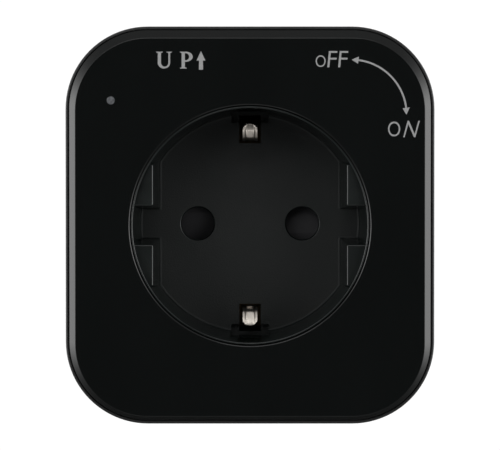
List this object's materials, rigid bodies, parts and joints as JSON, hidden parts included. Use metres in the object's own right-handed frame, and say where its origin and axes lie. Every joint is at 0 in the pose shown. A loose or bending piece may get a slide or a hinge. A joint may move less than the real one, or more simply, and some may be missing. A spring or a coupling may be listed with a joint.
{
  "type": "track socket",
  "caption": "Square-faced smart track socket with an earthed two-pole recess, pin shutter, status light and a quarter-turn contact turret behind.",
  "frame": {"origin": "centre of the seat's rear face, on the axis of the quarter turn, where it rests on the track", "axes": "+Y into the track, along the turning axis; +Z towards the edge marked up; +X to the right as seen from the front"},
  "size_m": [0.065, 0.0618, 0.07],
  "materials": {
    "face_plastic": "smooth black, satin gloss",
    "case_plastic": "fine spark-eroded black",
    "cup_plastic": "black, fine texture on the floor",
    "shutter_plastic": "black",
    "carrier_plastic": "natural heat-resistant plastic",
    "turret_plastic": "black glass-filled",
    "seat_plastic": "black acetal",
    "detent_plastic": "natural acetal",
    "tape": "black foam tape",
    "clear_plastic": "clear polycarbonate, frosted end",
    "contact_brass": "bright rolled brass",
    "earth_metal": "nickel-plated, bright",
    "spring_steel": "bright wire and strip",
    "screw_steel": "zinc plated",
    "board": "green solder mask",
    "relay_case": "blue-black relay case",
    "capacitor_sleeve": "shrunk sleeve",
    "film_case": "yellow box capacitor",
    "ferrite": "ferrite core",
    "radio_can": "tinned screening can",
    "fuse_body": "ceramic tube",
    "led_lens": "diffuse white",
    "live_insulation": "brown insulation",
    "load_insulation": "black insulation"
  },
  "bodies": {
    "track_seat": {"track_seat": "seat_plastic"},
    "housing": {"board_screws": "screw_steel", "carrier_screws": "screw_steel", "contact_carrier": "carrier_plastic", "contact_turret": "turret_plastic", "control_board": "board", "cup_screws": "screw_steel", "detent_leaf": "spring_steel", "detent_pin": "detent_plastic", "earth_blade": "contact_brass", "earth_strap": "contact_brass", "face_panel": "face_plastic", "film_capacitor": "film_case", "front_shell": "case_plastic", "fuse": "fuse_body", "housing_screws": "screw_steel", "light_pipe": "clear_plastic", "live_bar": "contact_brass", "live_blade": "contact_brass", "live_lead": "live_insulation", "live_sleeve": "contact_brass", "load_lead": "load_insulation", "neutral_bar": "contact_brass", "neutral_blade": "contact_brass", "neutral_sleeve": "contact_brass", "panel_tape": "tape", "radio_module": "radio_can", "rear_shell": "case_plastic", "relay": "relay_case", "shutter_spring": "spring_steel", "sleeve_springs": "spring_steel", "socket_cup": "cup_plastic", "status_led": "led_lens", "supply_capacitor": "capacitor_sleeve", "transformer": "ferrite", "turret_clip": "spring_steel"},
    "pin_shutter": {"pin_shutter": "shutter_plastic"},
    "earth_clip_top": {"earth_clip_top": "earth_metal"},
    "earth_clip_bottom": {"earth_clip_bottom": "earth_metal"}
  },
  "joints": [
    {"name": "quarter_turn", "type": "hinge", "parent": "track_seat", "child": "housing", "pos_m": [0, 0, 0], "axis": [0, 1, 0], "range_deg": [-90, 0]},
    {"name": "shutter_turn", "type": "hinge", "parent": "housing", "child": "pin_shutter", "pos_m": [0, -0.0269, 0], "axis": [0, 1, 0], "range_deg": [0, 40], "stiffness_Nm_per_rad": 0.002, "springref_deg": -17.19, "deforming": ["shutter_spring"]},
    {"name": "earth_clip_top_lean", "type": "hinge", "parent": "housing", "child": "earth_clip_top", "pos_m": [0, -0.02355, 0.01775], "axis": [-1, 0, 0], "range_deg": [0, 4], "stiffness_Nm_per_rad": 0.5, "springref_deg": -2.86},
    {"name": "earth_clip_bottom_lean", "type": "hinge", "parent": "housing", "child": "earth_clip_bottom", "pos_m": [0, -0.02355, -0.01775], "axis": [1, 0, 0], "range_deg": [0, 4], "stiffness_Nm_per_rad": 0.5, "springref_deg": -2.86}
  ]
}
